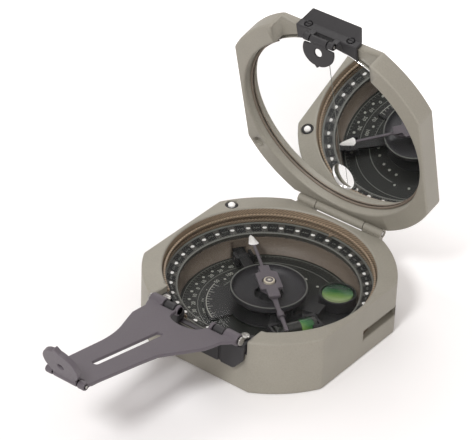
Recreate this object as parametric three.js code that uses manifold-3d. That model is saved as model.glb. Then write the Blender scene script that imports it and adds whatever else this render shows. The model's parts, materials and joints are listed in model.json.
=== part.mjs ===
// A sighting compass: a flat eight-sided case with a hinged mirror lid, a long sight arm and a dial that
// holds a needle, a bearing circle and two spirit levels. Millimetres, +Z up. The origin is on the
// needle's axis in the plane of the case's bottom. +Y is the lid hinge, -Y is the sight arm.
import * as THREE from "three";
import { mergeVertices } from "three/addons/utils/BufferGeometryUtils.js";
import Module from "manifold-3d";

const wasm = await Module();
wasm.setup();

// ---- driving dimensions -------------------------------------------------------------------------

const GAP = 0.3; // clearance between pieces that touch or turn
const CASE_WIDTH = 71; // across the four flats
const CORNER_RADIUS = 40.4; // the four rounded diagonals
const BASE_HEIGHT = 19.3;
const LID_HEIGHT = 7.3;
const LID_OPEN = 76.2; // degrees from closed
const RIM_RADIUS = 33.9; // the round opening at the top of the base
const CAVITY_RADIUS = 28.6;
const FLOOR_Z = 3.5;
const RECESS_DEPTH = 2.6; // under the base, for the clinometer lever
const RECESS_RADIUS = 24;
const RECESS_NORTH = 6;

const DIAL_TOP = 4.6;
const DIAL_THICKNESS = 0.8;
const CARRIER_Z = DIAL_TOP + GAP;
const CARRIER_THICKNESS = 0.6;
const CARRIER_TOP = CARRIER_Z + CARRIER_THICKNESS;

const RING_OUTER = 33.2;
const RING_INNER = 29;
const RING_BOTTOM = 11.2;
const RING_OUTER_TOP = 14;
const RING_INNER_TOP = 12.4;
const RING_TEETH = 120;
const RING_TOOTH_HEIGHT = 0.7;
const RING_TOOTH_WIDTH = 0.5;
const RING_TEETH_INNER = 30.6;
const RING_TEETH_OUTER = 32.8;
const RING_LAND = 30.2; // the ledge under the ring's plain inner part
const PINION_TEETH = 8;
const PINION_TIP = 2.55;
const PINION_ROOT = 1.75;
const PINION_Z = RING_BOTTOM - GAP - PINION_TIP;
const PINION_ANGLE = 135; // degrees from +X, the north-west diagonal

const GLASS_Z = 15.45;
const GLASS_THICKNESS = 0.8;
const CUP_RADIUS = 12.4;
const CUP_RIM_Z = 12.2;
const CUP_BOTTOM_Z = 8.6;
const NEEDLE_Z = 12.5;
const NEEDLE_LENGTH = 27.6;
const NEEDLE_HEADING = 50; // degrees west of north
const JEWEL_TOP = 14.6;

const BULLSEYE = { x: 17, y: 13.8, radius: 6, top: 10.4 };
const VIAL = { radius: 2.5, length: 14, reach: 19.2, angle: -27, z: 8.4 };
const BRIDGE = { angle: 12, from: 13, to: 18.6, halfWidth: 2.8, top: 9.3 }; // carries both levels

const LIFT_ANGLE = 147; // degrees from +X, the line of the lift lever
const LIFT_PIN_REACH = 36.9;
const LIFT_PIVOT_REACH = 24.4;
const LEVER_Z = 6.4;
const LEVER_THICKNESS = 1;
const LEVER_WIDTH = 3.6;

const NOTCH_HALF_WIDTH = 18.4; // the gap in both south rims where the sights fold in
const SIGHT_AXIS = { y: -37.6, z: 20.2 };
const SHELF_TOP = 17.8; // the sight bracket, where it fills the gap in the rim
const BRACKET_HALF_WIDTH = 18.1;
const BRACKET_GAP = { halfWidth: 7.3, bottom: 14.4 }; // where the dial shows between its two towers
const BRACKET_SCREW = { x: 15.4, y: -32.6 };
const ARM_RAISED = 12; // degrees above level
const ARM_LENGTH = 59.2;
const ARM_THICKNESS = 1.2;
const EAR_INNER = 11.8;
const EAR_OUTER = 17;
const KNUCKLE_INNER = 7.6;
const PRONG_INNER = 6.1;
const PRONG_OUTER = 7.3;
const TIP_AXIS = 61;
const TIP_LEAN = 32; // degrees outward from square to the arm
const TIP_CENTRE = 6.4;
const TIP_RADIUS = 6.4;
const TIP_HALF_THICKNESS = 0.85;

const LID_AXIS = { y: 38.2, z: 19.57 };
const HINGE_RADIUS = 1.6;
const LID_OPENING = 33.7;
const MIRROR_DEPTH = 3.47;
const MIRROR_THICKNESS = 1.2;
const WINDOW = { y: 23.4, halfWidth: 4.2, halfLength: 5.2 };
const WINDOW_PORT = { y: 25.4, halfWidth: 5, halfLength: 6.2 }; // its opening through the shell
const BLOCK_SCREW_W = 5.3;
const LEAF_AXIS = { y: -37.2, w: 0 };
const LEAF_TILT = 15;
const LEAF_LENGTH = 8.4;

// ---- colours ------------------------------------------------------------------------------------

const paint = (colour, roughness, metalness = 0) =>
  new THREE.MeshStandardMaterial({ color: colour, roughness, metalness });
const clear = (colour, opacity) =>
  new THREE.MeshStandardMaterial({ color: colour, roughness: 0.05, transparent: true, opacity });
const casePaint = paint("#a39d92", 0.55, 0.3);
const brownPaint = paint("#7d7164", 0.6);
const armPaint = paint("#6c666c", 0.5, 0.3);
const blackPaint = paint("#3e3d42", 0.5, 0.2);
const dialPaint = paint("#232623", 0.6);
const steel = paint("#b9b8b4", 0.3, 1);
const brass = paint("#b7a06a", 0.35, 1);
const whitePaint = paint("#e8e6df", 0.4);
const mirrorSilver = paint("#e6e9ea", 0.03, 1);
const glass = clear("#eef3f2", 0.2);
const green = clear("#7fb35a", 0.8);

// ---- solids -------------------------------------------------------------------------------------

const radians = THREE.MathUtils.degToRad;

function solid(geometry) {
  const plain = geometry.index ? geometry.toNonIndexed() : geometry.clone();
  plain.deleteAttribute("normal");
  plain.deleteAttribute("uv");
  const merged = mergeVertices(plain, 1e-5);
  const vertProperties = new Float32Array(merged.attributes.position.array);
  const triVerts = new Uint32Array(merged.index.array);
  return new wasm.Manifold(new wasm.Mesh({ numProp: 3, vertProperties, triVerts }));
}

function box(x, y, z) {
  const geometry = new THREE.BoxGeometry(x[1] - x[0], y[1] - y[0], z[1] - z[0]);
  geometry.translate((x[0] + x[1]) / 2, (y[0] + y[1]) / 2, (z[0] + z[1]) / 2);
  return solid(geometry);
}

// A round bar along Z, X or Y between two places on that axis.
function bar(radius, from, to, at = [0, 0], axis = "z", sides = 32) {
  const geometry = new THREE.CylinderGeometry(radius, radius, to - from, sides);
  geometry.translate(0, (from + to) / 2, 0);
  if (axis === "z") geometry.rotateX(Math.PI / 2).translate(at[0], at[1], 0);
  if (axis === "x") geometry.rotateZ(-Math.PI / 2).translate(0, at[0], at[1]);
  if (axis === "y") geometry.translate(at[0], 0, at[1]);
  return solid(geometry);
}

// A turned piece: its profile is a list of [radius, z] that closes on itself or on the axis.
function turned(profile, sides = 64) {
  const points = profile.map(([radius, z]) => new THREE.Vector2(radius, z));
  const geometry = new THREE.LatheGeometry(points, sides);
  geometry.rotateX(Math.PI / 2);
  const body = solid(geometry);
  return body.volume() > 0 ? body : solid(flipped(geometry));
}

function flipped(geometry) {
  const index = geometry.index.array;
  for (let corner = 0; corner < index.length; corner += 3) {
    [index[corner], index[corner + 1]] = [index[corner + 1], index[corner]];
  }
  return geometry;
}

function tube(inner, outer, from, to, sides = 64) {
  return turned([[inner, from], [outer, from], [outer, to], [inner, to], [inner, from]], sides);
}

function plate(shape, from, to, curveSegments = 12) {
  const depth = to - from;
  const geometry = new THREE.ExtrudeGeometry(shape, { depth, bevelEnabled: false, curveSegments });
  return solid(geometry.translate(0, 0, from));
}

function outline(points) {
  return new THREE.Shape(points.map(([x, y]) => new THREE.Vector2(x, y)));
}

function moved(body, x, y, z) {
  return body.translate([x, y, z]);
}

function turnedBy(body, x, y, z) {
  return body.rotate([x, y, z]);
}

function polar(reach, degrees) {
  return [reach * Math.cos(radians(degrees)), reach * Math.sin(radians(degrees))];
}

// Two faces in one plane can leave a crumb of no size after a boolean: the piece is the largest solid.
function largest(name, body) {
  const pieces = body.decompose().sort((one, other) => other.volume() - one.volume());
  for (const crumb of pieces.slice(1)) {
    if (Math.abs(crumb.volume()) > 1e-3) {
      throw new Error(`${name} is in ${pieces.length} pieces, one of them ${crumb.volume()} mm3`);
    }
  }
  return pieces[0];
}

function mesh(name, body, material) {
  const data = largest(name, body).getMesh();
  const geometry = new THREE.BufferGeometry();
  geometry.setAttribute("position", new THREE.BufferAttribute(data.vertProperties, 3));
  geometry.setIndex(new THREE.BufferAttribute(data.triVerts, 1));
  geometry.computeVertexNormals();
  const piece = new THREE.Mesh(geometry, material);
  piece.name = name;
  return piece;
}

function group(...pieces) {
  const assembly = new THREE.Group();
  assembly.add(...pieces);
  return assembly;
}

// ---- case ---------------------------------------------------------------------------------------

// A square with flats across CASE_WIDTH whose corners are arcs of CORNER_RADIUS about the centre.
function caseOutline() {
  const shape = new THREE.Shape();
  const half = CASE_WIDTH / 2;
  const start = Math.acos(half / CORNER_RADIUS);
  for (let side = 0; side < 4; side += 1) {
    const turn = (side * Math.PI) / 2;
    shape.absarc(0, 0, CORNER_RADIUS, turn + start, turn + Math.PI / 2 - start, false);
  }
  shape.closePath();
  return shape;
}

function caseLug(x, y, z) {
  const knuckle = bar(HINGE_RADIUS, x[0], x[1], [LID_AXIS.y, LID_AXIS.z], "x", 24);
  return knuckle.add(box(x, y, z));
}

function baseCase() {
  const half = CASE_WIDTH / 2;
  let body = plate(caseOutline(), 0, BASE_HEIGHT);
  const ringFloor = RING_BOTTOM - RING_TOOTH_HEIGHT - 0.4;
  body = body.subtract(turned([
    [0, FLOOR_Z], [CAVITY_RADIUS, FLOOR_Z], [CAVITY_RADIUS, RING_BOTTOM - GAP], [RING_LAND, RING_BOTTOM - GAP],
    [RING_LAND, ringFloor], [RIM_RADIUS, ringFloor], [RIM_RADIUS, BASE_HEIGHT + 1], [0, BASE_HEIGHT + 1],
  ], 96));
  const recess = bar(RECESS_RADIUS, -1, RECESS_DEPTH, [0, 0], "z", 64);
  body = body.subtract(recess.subtract(box([-30, 30], [RECESS_NORTH, 30], [-2, 4])));
  body = body.subtract(bar(RECESS_NORTH + 2, -1, RECESS_DEPTH, [0, 0], "z", 48));
  body = body.subtract(bar(2.4, 0, FLOOR_Z + 1));
  const notch = NOTCH_HALF_WIDTH;
  body = body.subtract(box([-notch, notch], [-41, -28.5], [14.6, BASE_HEIGHT + 1]));
  for (const side of [-1, 1]) {
    const groove = outline([[half + 1, 2.3], [half, 2.3], [half - 2.6, 4.6], [half - 2.6, 20.6], [half + 1, 20.6]]);
    const slot = plate(groove, 6.3, 9.8);
    body = body.subtract(side > 0 ? slot : slot.mirror([1, 0, 0]));
    const lug = side > 0 ? [9.7, 16.6] : [-16.6, -9.7];
    body = body.add(caseLug(lug, [half - 0.5, LID_AXIS.y], [LID_AXIS.z - 3.4, BASE_HEIGHT - GAP]));
    body = body.subtract(bar(1.1, 11, 16, [side * BRACKET_SCREW.x, BRACKET_SCREW.y], "z", 20));
  }
  body = body.subtract(bar(1, -17, 17, [LID_AXIS.y, LID_AXIS.z], "x", 20));
  const pinionBore = bar(2.9, RING_LAND + 0.2, 42, [0, PINION_Z], "x", 32);
  body = body.subtract(turnedBy(pinionBore, 0, 0, PINION_ANGLE));
  body = body.subtract(bar(2.2, 5.2, BASE_HEIGHT + 1, polar(LIFT_PIN_REACH, LIFT_ANGLE), "z", 24));
  const leverSlot = box([CAVITY_RADIUS - 1, LIFT_PIN_REACH + 1.4], [-2.3, 2.3], [5.2, 8]);
  return body.subtract(turnedBy(leverSlot, 0, 0, LIFT_ANGLE));
}

function dialPlate() {
  const disc = bar(CAVITY_RADIUS - GAP, DIAL_TOP - DIAL_THICKNESS, DIAL_TOP, [0, 0], "z", 96);
  return disc.subtract(bar(2.4, 0, 10));
}

function coverGlass() {
  return bar(RIM_RADIUS - 0.5, GLASS_Z, GLASS_Z + GLASS_THICKNESS, [0, 0], "z", 72);
}

function zeroIndexRing() {
  const z = RING_OUTER_TOP + GAP;
  let ring = tube(RING_OUTER - 0.1, RIM_RADIUS - GAP, z, GLASS_Z - GAP, 72);
  ring = ring.subtract(box([-BRACKET_GAP.halfWidth, BRACKET_GAP.halfWidth], [-36, -30], [z - 1, z + 2]));
  const pointer = outline([[-0.9, 33.4], [0, 31.6], [0.9, 33.4]]);
  return ring.add(plate(pointer, z, z + 0.5));
}

// A spring ring, open where the sights fold in.
function glassRetainer() {
  const z = GLASS_Z + GLASS_THICKNESS + GAP;
  const ring = tube(RIM_RADIUS - 1, RIM_RADIUS - GAP, z, z + 0.6, 72);
  return ring.subtract(box([-NOTCH_HALF_WIDTH, NOTCH_HALF_WIDTH], [-36, -25], [z - 1, z + 2]));
}

// ---- bearing circle and its adjuster ------------------------------------------------------------

function azimuthRing() {
  const ring = turned([
    [RING_INNER, RING_BOTTOM], [RING_OUTER, RING_BOTTOM], [RING_OUTER, RING_OUTER_TOP],
    [RING_INNER, RING_INNER_TOP], [RING_INNER, RING_BOTTOM],
  ], 96);
  const half = RING_TOOTH_WIDTH / 2;
  const height = [RING_BOTTOM - RING_TOOTH_HEIGHT, RING_BOTTOM + 0.2];
  const tooth = box([RING_TEETH_INNER, RING_TEETH_OUTER], [-half, half], height);
  const teeth = [];
  for (let count = 0; count < RING_TEETH; count += 1) {
    teeth.push(turnedBy(tooth, 0, 0, (360 * (count + 0.5)) / RING_TEETH));
  }
  return ring.add(wasm.Manifold.union(teeth));
}

// The pinion lies along the case's north-west diagonal, with a tooth straight up at rest.
function adjusterPinion() {
  let body = bar(PINION_ROOT, RING_LAND + 0.5, 33.4, [0, 0], "x", 24);
  const half = 0.25;
  for (let count = 0; count < PINION_TEETH; count += 1) {
    const tooth = box([RING_LAND + 0.5, 33.4], [-half, half], [1, PINION_TIP]);
    body = body.add(turnedBy(tooth, (360 * count) / PINION_TEETH, 0, 0));
  }
  body = body.add(bar(1.3, 33, 39, [0, 0], "x", 20));
  body = body.add(bar(2.5, 38.7, 40.7, [0, 0], "x", 32));
  return body.subtract(box([39.8, 41], [-3, 3], [-0.4, 0.4]));
}

function alongPinion(body) {
  return turnedBy(moved(body, 0, 0, PINION_Z), 0, 0, PINION_ANGLE);
}

function adjusterBush() {
  const bush = bar(2.6, 34.2, 38.3, [0, 0], "x", 28);
  return bush.subtract(bar(1.6, 34, 39, [0, 0], "x", 20));
}

// ---- clinometer: shaft, carrier, cup, levels and the lever below --------------------------------

function sector(reach, from, to) {
  const shape = new THREE.Shape();
  shape.moveTo(0, 0);
  shape.lineTo(...polar(reach, from));
  shape.absarc(0, 0, reach, radians(from), radians(to), false);
  shape.closePath();
  return shape;
}

function vernierCarrier() {
  let body = bar(13, CARRIER_Z, CARRIER_TOP, [0, 0], "z", 64);
  body = body.add(plate(sector(27, -48, 57), CARRIER_Z, CARRIER_TOP));
  body = body.add(plate(sector(20.5, 186, 246), CARRIER_Z, CARRIER_TOP));
  for (const angle of [-45, 0, 45]) {
    const leg = box([8.6, 10.4], [-1, 1], [CARRIER_Z, CUP_BOTTOM_Z - GAP]);
    body = body.add(turnedBy(leg, 0, 0, angle));
  }
  const bridge = box([BRIDGE.from, BRIDGE.to], [-BRIDGE.halfWidth, BRIDGE.halfWidth], [CARRIER_Z, BRIDGE.top]);
  body = body.add(turnedBy(bridge, 0, 0, BRIDGE.angle));
  return body.subtract(bar(2.3, 0, 10));
}

function clinometerShaft() {
  return bar(2, 1.2, 6.2).subtract(bar(1.1, 1, 4, [0, 0], "z", 16));
}

function dampingCup() {
  const wall = 0.6;
  return turned([
    [4.6, CUP_BOTTOM_Z], [10.4, CUP_BOTTOM_Z], [CUP_RADIUS, CUP_BOTTOM_Z + 2], [CUP_RADIUS, CUP_RIM_Z],
    [CUP_RADIUS - wall, CUP_RIM_Z], [CUP_RADIUS - wall, CUP_BOTTOM_Z + 2.2], [10.1, CUP_BOTTOM_Z + wall],
    [4.6, CUP_BOTTOM_Z + wall], [4.6, CUP_BOTTOM_Z],
  ], 72);
}

function bullseyeHousing() {
  const { x, y, radius, top } = BULLSEYE;
  const z = CARRIER_TOP + GAP;
  const body = turned([
    [0, z], [radius, z], [radius, top - 0.6], [radius - 0.7, top - 0.6], [radius - 0.7, z + 0.8], [0, z + 0.8],
  ], 40);
  return moved(body, x, y, 0);
}

function bullseyeLiquid() {
  const { x, y, radius, top } = BULLSEYE;
  const z = CARRIER_TOP + GAP + 0.8 + GAP;
  return moved(bar(radius - 1, z, top - 0.8, [0, 0], "z", 36), x, y, 0);
}

function bullseyeLens() {
  const { x, y, radius, top } = BULLSEYE;
  const body = turned([
    [0, top - 0.5], [radius - 1, top - 0.5], [radius - 1, top - 0.3], [radius, top - 0.3], [radius, top],
    [radius - 1.6, top + 0.4], [0, top + 0.6],
  ], 40);
  return moved(body, x, y, 0);
}

function onVialAxis(body) {
  return turnedBy(moved(body, VIAL.reach, 0, VIAL.z), 0, 0, VIAL.angle);
}

function tubeVial() {
  const half = VIAL.length / 2;
  return onVialAxis(bar(VIAL.radius, -half, half, [0, 0], "y", 24));
}

function vialHolder(side) {
  const inner = VIAL.length / 2 - 2.2;
  const outer = VIAL.length / 2 + 1.2;
  const y = side > 0 ? [inner, outer] : [-outer, -inner];
  const width = VIAL.radius + 1;
  let body = box([-width, width], y, [CARRIER_TOP + GAP - VIAL.z, 1.6]);
  const bore = side > 0 ? [0, VIAL.length / 2 + GAP] : [-VIAL.length / 2 - GAP, 0];
  body = body.subtract(bar(VIAL.radius + GAP, bore[0], bore[1], [0, 0], "y", 24));
  return onVialAxis(body);
}

function clinometerLever() {
  let body = bar(5.6, 1.2, 2.3, [0, 0], "z", 40);
  body = body.add(box([0, 19.5], [-2.4, 2.4], [1.2, 2.3]));
  body = body.add(bar(2.4, 0.5, 2.3, [19.5, 0], "z", 24));
  body = body.subtract(bar(2.3, 0, 3));
  return turnedBy(body, 0, 0, -76);
}

// A flat-headed screw flush with the case's bottom, with two blind holes for a pin spanner.
function leverScrew() {
  const head = turned([
    [0, 0], [2.7, 0], [3, 0.3], [3, 0.9], [0.8, 0.9], [0.8, 3.4], [0, 3.4],
  ], 28);
  const holes = bar(0.4, -1, 0.5, [2, 0], "z", 12).add(bar(0.4, -1, 0.5, [-2, 0], "z", 12));
  return head.subtract(holes);
}

// ---- needle -------------------------------------------------------------------------------------

function pivotPost() {
  return turned([
    [0, 6.5], [2, 6.5], [2, 6.9], [1.1, 6.9], [1.1, 12.1], [0, 12.9],
  ], 24);
}

// The needle is modelled along +Y and then turned to its heading.
function heading(body) {
  return turnedBy(body, 0, 0, NEEDLE_HEADING);
}

function needle() {
  const tip = NEEDLE_LENGTH;
  const shape = outline([
    [0, tip], [-0.5, tip - 1], [-1.6, tip - 5.4], [-0.45, tip - 5.4], [-0.5, 9], [-1.8, 8], [-3.3, 3], [-3.3, -3],
    [-1.8, -5], [-0.8, -9], [-0.55, -25], [0.55, -25], [0.8, -9], [1.8, -5], [3.3, -3], [3.3, 3], [1.8, 8],
    [0.5, 9], [0.45, tip - 5.4], [1.6, tip - 5.4], [0.5, tip - 1],
  ]);
  const body = plate(shape, NEEDLE_Z, NEEDLE_Z + 0.5);
  return heading(body.subtract(bar(2.2, 10, 15, [0, 0], "z", 28)));
}

function needleMagnet() {
  const z = NEEDLE_Z + 0.5 + GAP;
  const shape = outline([
    [-3.6, 4.6], [-3.6, -4], [-1.9, -4], [-1.9, -8.4], [1.9, -8.4], [1.9, -4], [3.6, -4], [3.6, 4.6],
    [1.7, 5.6], [1.7, 8.6], [-1.7, 8.6], [-1.7, 5.6],
  ]);
  const body = plate(shape, z, z + 0.9);
  return heading(body.subtract(bar(2.2, 10, 16, [0, 0], "z", 28)));
}

function jewelCap() {
  return turned([
    [0, 13.2], [0.9, 12.8], [0.9, NEEDLE_Z], [1.8, NEEDLE_Z], [1.8, JEWEL_TOP - 0.1], [1.2, JEWEL_TOP],
    [0.9, JEWEL_TOP - 0.25], [0, JEWEL_TOP - 0.25],
  ], 32);
}

// Wire wound round the needle's south arm, slid along it to balance the magnetic dip.
function counterweight() {
  const body = bar(1.2, -18, -15.6, [0, NEEDLE_Z + 0.25], "y", 16);
  const bore = box([-0.62 - GAP, 0.62 + GAP], [-19, -14], [NEEDLE_Z - GAP, NEEDLE_Z + 0.5 + GAP]);
  return heading(body.subtract(bore));
}

function liftSleeve() {
  const top = NEEDLE_Z - 0.9;
  return turned([
    [1.5, 7.7], [4, 7.7], [4, 8.2], [2.8, 8.2], [2.8, top], [1.5, top], [1.5, 7.7],
  ], 28);
}

// ---- needle lift: pin, lever, bracket -----------------------------------------------------------

function alongLever(body) {
  return turnedBy(body, 0, 0, LIFT_ANGLE);
}

function liftLever() {
  const half = LEVER_WIDTH / 2;
  const top = LEVER_Z + LEVER_THICKNESS;
  let body = box([0, LIFT_PIN_REACH + 1.1], [-half, half], [LEVER_Z, top]);
  body = body.add(bar(3.6, LEVER_Z, top, [0, 0], "z", 32));
  body = body.subtract(box([-5, 0.4], [-5, 5], [0, 10])).subtract(bar(2.5, 0, 10, [0, 0], "z", 24));
  body = body.add(bar(1.2, -half, half, [LIFT_PIVOT_REACH, LEVER_Z + 0.5], "y", 20));
  body = body.subtract(bar(0.8, -4, 4, [LIFT_PIVOT_REACH, LEVER_Z + 0.5], "y", 16));
  return alongLever(body);
}

function liftLeverBracket() {
  const reach = [LIFT_PIVOT_REACH - 2, LIFT_PIVOT_REACH + 2];
  const inner = LEVER_WIDTH / 2 + GAP;
  let body = box([reach[0] - 0.4, reach[1] - 0.4], [-inner - 1, inner + 1], [CARRIER_Z, 8.4]);
  body = body.subtract(box([reach[0] - 2, reach[1] + 2], [-inner, inner], [CARRIER_Z + 0.4, 10]));
  body = body.subtract(bar(0.8, -4, 4, [LIFT_PIVOT_REACH, LEVER_Z + 0.5], "y", 16));
  return alongLever(body);
}

function liftLeverPin() {
  return alongLever(bar(0.5, -3, 3, [LIFT_PIVOT_REACH, LEVER_Z + 0.5], "y", 12));
}

function atLiftPin(body) {
  const [x, y] = polar(LIFT_PIN_REACH, LIFT_ANGLE);
  return moved(body, x, y, 0);
}

function liftPin() {
  const low = LEVER_Z + LEVER_THICKNESS + GAP;
  return atLiftPin(turned([
    [0, low], [0.9, low], [0.9, 14.4], [1.2, 14.4], [1.2, 19.5], [0.7, 20], [0, 20.1],
  ], 24));
}

function liftPinBush() {
  return atLiftPin(tube(1.5, 1.9, 15, BASE_HEIGHT - 0.1, 24));
}

class Coil extends THREE.Curve {
  constructor(radius, rise, turns) {
    super();
    Object.assign(this, { radius, rise, turns });
  }

  getPoint(t) {
    const angle = 2 * Math.PI * this.turns * t;
    return new THREE.Vector3(this.radius * Math.cos(angle), this.radius * Math.sin(angle), this.rise * t);
  }
}

function liftPinSpring() {
  const wire = new THREE.Shape().absarc(0, 0, 0.22, 0, 2 * Math.PI, false);
  const extrudePath = new Coil(1.55, 4.4, 4);
  const geometry = new THREE.ExtrudeGeometry(wire, { steps: 64, extrudePath, curveSegments: 3 });
  return atLiftPin(moved(solid(geometry), 0, 0, 9.6));
}

// ---- sight bracket and sight arm ----------------------------------------------------------------

function sightBracket() {
  const width = BRACKET_HALF_WIDTH;
  const face = outline([
    [-width, SHELF_TOP], [-width, 12.4], [-14.7, 8.4], [14.7, 8.4], [width, 12.4], [width, SHELF_TOP],
  ]);
  let body = turnedBy(plate(face, 35.8, 37.4), 90, 0, 0);
  const shelf = box([-width, width], [-36, -28.8], [14.9, SHELF_TOP]);
  body = body.add(shelf.subtract(bar(RIM_RADIUS + GAP, 10, 20, [0, 0], "z", 96)));
  const gap = [-BRACKET_GAP.halfWidth, BRACKET_GAP.halfWidth];
  body = body.subtract(box(gap, [-38, -28], [BRACKET_GAP.bottom, SHELF_TOP + 1]));
  for (const side of [-1, 1]) {
    const x = side > 0 ? [KNUCKLE_INNER, EAR_INNER - GAP] : [GAP - EAR_INNER, -KNUCKLE_INNER];
    body = body.add(box(x, [SIGHT_AXIS.y, -35.6], [17.4, SIGHT_AXIS.z]));
    body = body.add(bar(1.6, x[0], x[1], [SIGHT_AXIS.y, SIGHT_AXIS.z], "x", 24));
    body = body.subtract(bar(1, x[0] - 1, x[1] + 1, [SIGHT_AXIS.y, SIGHT_AXIS.z], "x", 20));
    const groove = box([side * 9.2 - 0.4, side * 9.2 + 0.4], [-38, -36.9], [8, 14.4]);
    body = body.subtract(groove);
    body = body.subtract(bar(1.1, 10, 20, [side * BRACKET_SCREW.x, BRACKET_SCREW.y], "z", 20));
  }
  return body;
}

function bracketScrew(side) {
  const head = SHELF_TOP + GAP;
  const profile = turned([[0, 11.6], [0.8, 11.6], [0.8, head], [1.6, head], [1.4, head + 0.6], [0, head + 0.7]], 24);
  const slotted = profile.subtract(box([-3, 3], [-0.25, 0.25], [head + 0.35, head + 1]));
  return moved(slotted, side * BRACKET_SCREW.x, BRACKET_SCREW.y, 0);
}

function sightHingePin(side) {
  const from = side > 0 ? PRONG_INNER + 0.6 : -EAR_OUTER - 0.2;
  const to = side > 0 ? EAR_OUTER + 0.2 : -PRONG_INNER - 0.6;
  const headFrom = side > 0 ? EAR_OUTER + GAP : -EAR_OUTER - 0.9;
  const headTo = side > 0 ? EAR_OUTER + 0.9 : -EAR_OUTER - GAP;
  const shank = bar(0.7, Math.min(from, headFrom), Math.max(to, headTo), [0, 0], "x", 16);
  return moved(shank.add(bar(1.4, headFrom, headTo, [0, 0], "x", 24)), 0, SIGHT_AXIS.y, SIGHT_AXIS.z);
}

// The arm lies along -Y from its pivot, so s on the outline is distance from the pivot.
function armOutline() {
  const shape = new THREE.Shape();
  shape.moveTo(-EAR_OUTER, 0);
  for (const side of [-1, 1]) {
    const corners = [
      [EAR_OUTER, 2.6, 14.8, 6.4], [14.6, 10, 14.2, 13.6], [12.4, 18.6, 10.6, 23.2], [8.4, 29, 8, 36],
    ];
    const stretches = side < 0 ? corners : corners.slice().reverse();
    if (side > 0) shape.lineTo(7.3, -ARM_LENGTH);
    for (const [controlX, controlS, endX, endS] of stretches) {
      if (side < 0) {
        shape.quadraticCurveTo(-controlX, -controlS, -endX, -endS);
      } else {
        shape.lineTo(endX, -endS);
        shape.lineTo(controlX, -controlS);
      }
    }
    if (side < 0) shape.lineTo(-7.3, -ARM_LENGTH);
  }
  shape.lineTo(EAR_OUTER, 0);
  shape.lineTo(EAR_INNER, 0);
  shape.lineTo(EAR_INNER, -2.4);
  shape.lineTo(PRONG_OUTER, -2.4);
  shape.lineTo(PRONG_OUTER, 0);
  shape.lineTo(PRONG_INNER, 0);
  shape.quadraticCurveTo(7.4, -7.8, 0, -8);
  shape.quadraticCurveTo(-7.4, -7.8, -PRONG_INNER, 0);
  shape.lineTo(-PRONG_OUTER, 0);
  shape.lineTo(-PRONG_OUTER, -2.4);
  shape.lineTo(-EAR_INNER, -2.4);
  shape.lineTo(-EAR_INNER, 0);
  shape.closePath();
  return shape;
}

function armSlot() {
  const shape = new THREE.Shape();
  shape.absarc(0, -18, 1, 0, Math.PI, false);
  shape.absarc(0, -48, 1, Math.PI, 2 * Math.PI, false);
  shape.closePath();
  return shape;
}

function sightArm() {
  const half = ARM_THICKNESS / 2;
  let body = plate(armOutline(), -half, half, 6).subtract(plate(armSlot(), -3, 3, 8));
  for (const side of [-1, 1]) {
    const ear = side > 0 ? [EAR_INNER, EAR_OUTER] : [-EAR_OUTER, -EAR_INNER];
    body = body.add(bar(2, ear[0], ear[1], [0, 0], "x", 28));
    const prong = side > 0 ? [PRONG_INNER, PRONG_OUTER] : [-PRONG_OUTER, -PRONG_INNER];
    body = body.add(bar(1.7, prong[0], prong[1], [0, 0], "x", 28));
    const lug = side > 0 ? [4.8, 7.3] : [-7.3, -4.8];
    body = body.add(box(lug, [-TIP_AXIS, -ARM_LENGTH + 1], [-half, half]));
    body = body.add(bar(1.3, lug[0], lug[1], [-TIP_AXIS, 0], "x", 20));
  }
  body = body.subtract(bar(1, -20, 20, [0, 0], "x", 20));
  return body.subtract(bar(0.8, -10, 10, [-TIP_AXIS, 0], "x", 16));
}

// The tip stands on its pivot: a round leaf with a sighting hole and a small point on its top.
function sightTip() {
  const half = TIP_HALF_THICKNESS;
  let body = bar(TIP_RADIUS, -half, half, [0, TIP_CENTRE], "y", 48);
  body = body.subtract(box([-9, 9], [-2, 2], [-1, 1.8]));
  body = body.add(box([-4.4, 4.4], [-half, half], [0, 2.4]));
  body = body.add(bar(1.25, -4.4, 4.4, [0, 0], "x", 20));
  const point = outline([[-1.5, 12.3], [0, 14.3], [1.5, 12.3]]);
  body = body.add(turnedBy(plate(point, -half, half), 90, 0, 0));
  body = body.subtract(bar(1.1, -3, 3, [0, TIP_CENTRE - 0.6], "y", 24));
  return body.subtract(bar(0.8, -6, 6, [0, 0], "x", 16));
}

function sightTipPin() {
  return bar(0.5, -7.5, 7.5, [0, 0], "x", 12);
}

// ---- lid ----------------------------------------------------------------------------------------

function oval(window, margin = 0) {
  const shape = new THREE.Shape();
  const { y, halfWidth, halfLength } = window;
  shape.absellipse(0, y, halfWidth + margin, halfLength + margin, 0, 2 * Math.PI, false, 0);
  return shape;
}

// The lid's pieces are modelled closed, with w the height above the base's rim.
function lidShell() {
  const pocketTop = MIRROR_DEPTH + MIRROR_THICKNESS + GAP;
  let body = plate(caseOutline(), 0, LID_HEIGHT);
  body = body.subtract(bar(LID_OPENING, -1, pocketTop, [0, 0], "z", 96));
  body = body.subtract(plate(oval(WINDOW_PORT, 0.6), 3, 6.6, 16));
  body = body.subtract(plate(oval(WINDOW_PORT, -0.3), 3, 9, 16));
  const notch = NOTCH_HALF_WIDTH;
  body = body.subtract(box([-notch, notch], [-41, -28], [-1, 4.4]));
  body = body.subtract(moved(bar(1.9, -1, 1.2, [0, 0], "z", 24), ...polar(LIFT_PIN_REACH, LIFT_ANGLE), 0));
  const axisW = LID_AXIS.z - BASE_HEIGHT;
  const web = [CASE_WIDTH / 2 - 0.5, LID_AXIS.y];
  body = body.add(box([-9.4, 9.4], web, [axisW, axisW + 2.8]));
  body = body.add(bar(HINGE_RADIUS, -9.4, 9.4, [LID_AXIS.y, axisW], "x", 24));
  body = body.subtract(bar(1, -10, 10, [LID_AXIS.y, axisW], "x", 20));
  for (const side of [-1, 1]) {
    body = body.subtract(bar(0.8, -38, -32, [side * 8, BLOCK_SCREW_W], "y", 16));
  }
  return body;
}

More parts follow.
